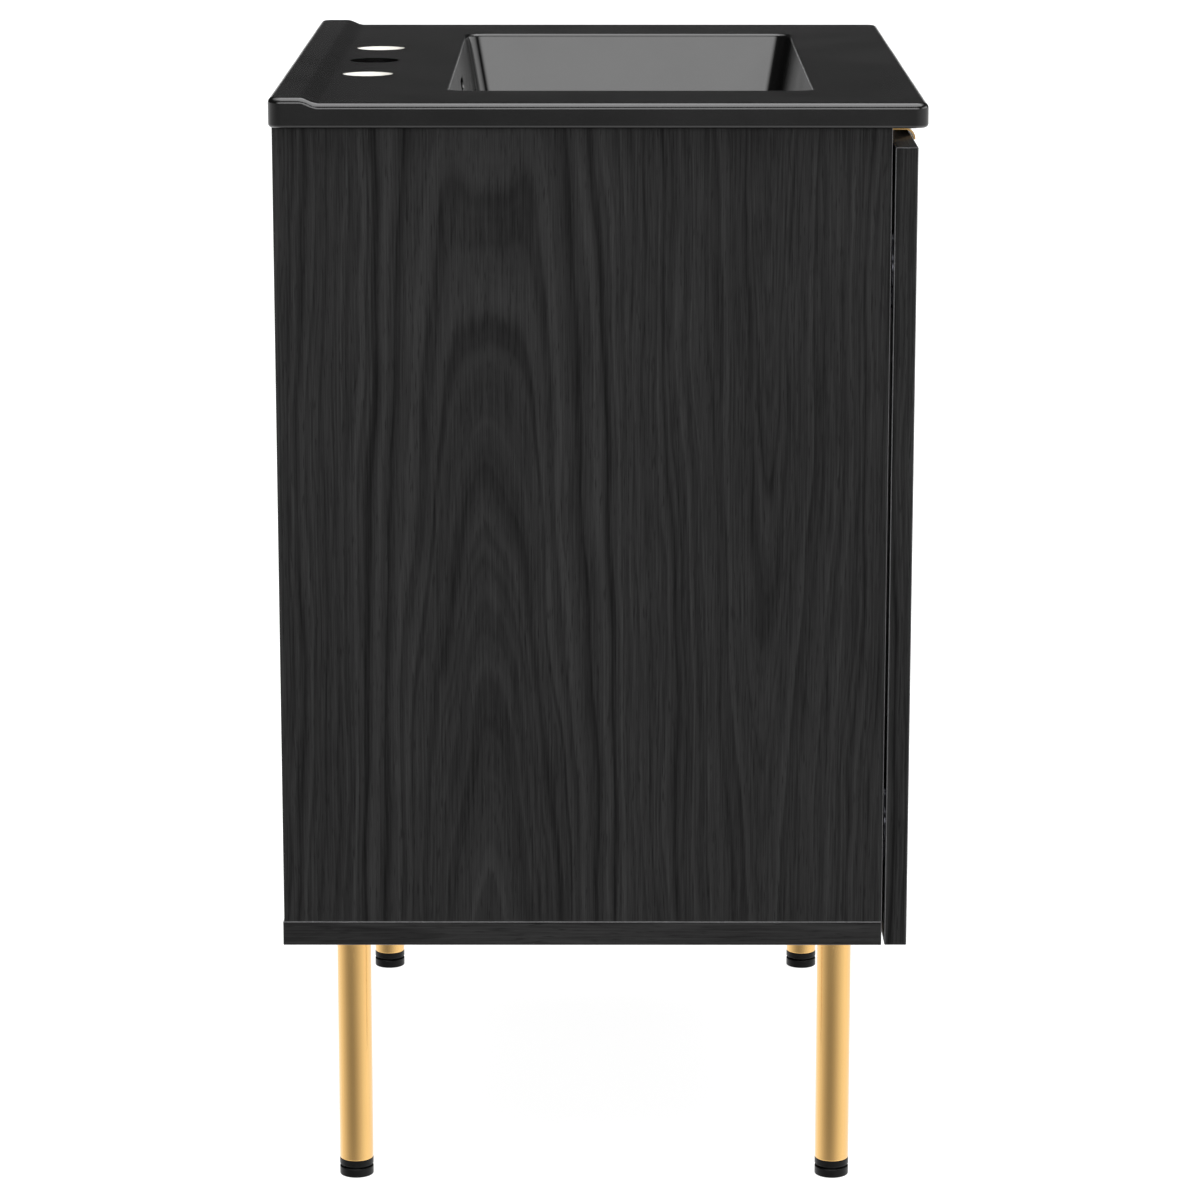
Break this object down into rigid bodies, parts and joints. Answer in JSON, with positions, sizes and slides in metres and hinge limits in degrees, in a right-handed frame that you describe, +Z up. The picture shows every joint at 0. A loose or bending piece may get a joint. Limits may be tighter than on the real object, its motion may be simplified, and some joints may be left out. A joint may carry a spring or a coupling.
{
  "type": "bathroom vanity",
  "caption": "Free-standing bathroom vanity: black ceramic sink top with basin on a black wood-grain cabinet with hinged doors, round brass-coloured legs and levelling feet.",
  "frame": {"origin": "on the floor below the middle of the sink top", "axes": "+Z up, the doors face -Y, +X to the right of someone facing the doors"},
  "size_m": [0.622, 0.47, 0.819],
  "materials": {
    "black_glazed_ceramic": "gloss",
    "black_woodgrain_board": "satin",
    "satin_brass_metal": "satin",
    "black_plastic": "satin",
    "zinc_plated_steel": "satin",
    "black_nickel_plated_steel": "polished",
    "beech_wood": "matte",
    "clear_bumper_rubber": "satin",
    "sealant": "gloss"
  },
  "bodies": {
    "cabinet": {"assembly_screws": "zinc_plated_steel", "back_rail_lower": "black_woodgrain_board", "back_rail_upper": "black_woodgrain_board", "bottom_board": "black_woodgrain_board", "cam_bolts": "zinc_plated_steel", "cam_discs": "zinc_plated_steel", "dowels": "beech_wood", "front_rail": "black_woodgrain_board", "hinge_arm_lower_left": "black_nickel_plated_steel", "hinge_arm_lower_right": "black_nickel_plated_steel", "hinge_arm_pins": "black_nickel_plated_steel", "hinge_arm_screws": "zinc_plated_steel", "hinge_arm_upper_left": "black_nickel_plated_steel", "hinge_arm_upper_right": "black_nickel_plated_steel", "hinge_plate_lower_left": "black_nickel_plated_steel", "hinge_plate_lower_right": "black_nickel_plated_steel", "hinge_plate_screws": "zinc_plated_steel", "hinge_plate_upper_left": "black_nickel_plated_steel", "hinge_plate_upper_right": "black_nickel_plated_steel", "leg_bolts": "zinc_plated_steel", "leg_collar_back_left": "black_plastic", "leg_collar_back_right": "black_plastic", "leg_collar_front_left": "black_plastic", "leg_collar_front_right": "black_plastic", "leg_tee_nuts": "zinc_plated_steel", "leg_top_plugs": "black_plastic", "leg_tube_back_left": "satin_brass_metal", "leg_tube_back_right": "satin_brass_metal", "leg_tube_front_left": "satin_brass_metal", "leg_tube_front_right": "satin_brass_metal", "sealant_beads": "sealant", "side_panel_left": "black_woodgrain_board", "side_panel_right": "black_woodgrain_board", "sink_top": "black_glazed_ceramic"},
    "left_hinge_links": {"hinge_link_lower_left": "black_nickel_plated_steel", "hinge_link_upper_left": "black_nickel_plated_steel"},
    "left_door": {"door_bumpers_left": "clear_bumper_rubber", "door_left": "black_woodgrain_board", "edge_pull_left": "satin_brass_metal", "hinge_cup_lower_left": "black_nickel_plated_steel", "hinge_cup_pins_left": "black_nickel_plated_steel", "hinge_cup_screws_left": "zinc_plated_steel", "hinge_cup_upper_left": "black_nickel_plated_steel", "pull_screws_left": "zinc_plated_steel"},
    "right_hinge_links": {"hinge_link_lower_right": "black_nickel_plated_steel", "hinge_link_upper_right": "black_nickel_plated_steel"},
    "right_door": {"door_bumpers_right": "clear_bumper_rubber", "door_right": "black_woodgrain_board", "edge_pull_right": "satin_brass_metal", "hinge_cup_lower_right": "black_nickel_plated_steel", "hinge_cup_pins_right": "black_nickel_plated_steel", "hinge_cup_screws_right": "zinc_plated_steel", "hinge_cup_upper_right": "black_nickel_plated_steel", "pull_screws_right": "zinc_plated_steel"},
    "front_left_foot": {"levelling_foot_front_left": "black_plastic"},
    "front_right_foot": {"levelling_foot_front_right": "black_plastic"},
    "back_left_foot": {"levelling_foot_back_left": "black_plastic"},
    "back_right_foot": {"levelling_foot_back_right": "black_plastic"}
  },
  "joints": [
    {"name": "left_hinge_links", "type": "hinge", "parent": "cabinet", "child": "left_hinge_links", "pos_m": [-0.2684, -0.2001, 0.48635], "axis": [0, 0, -1], "range_deg": [-40, 0]},
    {"name": "left_door_swing", "type": "hinge", "parent": "left_hinge_links", "child": "left_door", "pos_m": [-0.2903, -0.2154, 0.48635], "axis": [0, 0, -1], "range_deg": [0, 140]},
    {"name": "right_hinge_links", "type": "hinge", "parent": "cabinet", "child": "right_hinge_links", "pos_m": [0.2684, -0.2001, 0.48635], "axis": [0, 0, 1], "range_deg": [-40, 0]},
    {"name": "right_door_swing", "type": "hinge", "parent": "right_hinge_links", "child": "right_door", "pos_m": [0.2903, -0.2154, 0.48635], "axis": [0, 0, 1], "range_deg": [0, 140]},
    {"name": "front_left_foot_travel", "type": "slide", "parent": "cabinet", "child": "front_left_foot", "axis": [0, 0, 1], "range_m": [-0.01, 0]},
    {"name": "front_right_foot_travel", "type": "slide", "parent": "cabinet", "child": "front_right_foot", "axis": [0, 0, 1], "range_m": [-0.01, 0]},
    {"name": "back_left_foot_travel", "type": "slide", "parent": "cabinet", "child": "back_left_foot", "axis": [0, 0, 1], "range_m": [-0.01, 0]},
    {"name": "back_right_foot_travel", "type": "slide", "parent": "cabinet", "child": "back_right_foot", "axis": [0, 0, 1], "range_m": [-0.01, 0]}
  ],
  "couplings": [
    {"joint": "left_hinge_links", "follows": "left_door_swing", "ratio": -0.28571},
    {"joint": "right_hinge_links", "follows": "right_door_swing", "ratio": -0.28571}
  ]
}
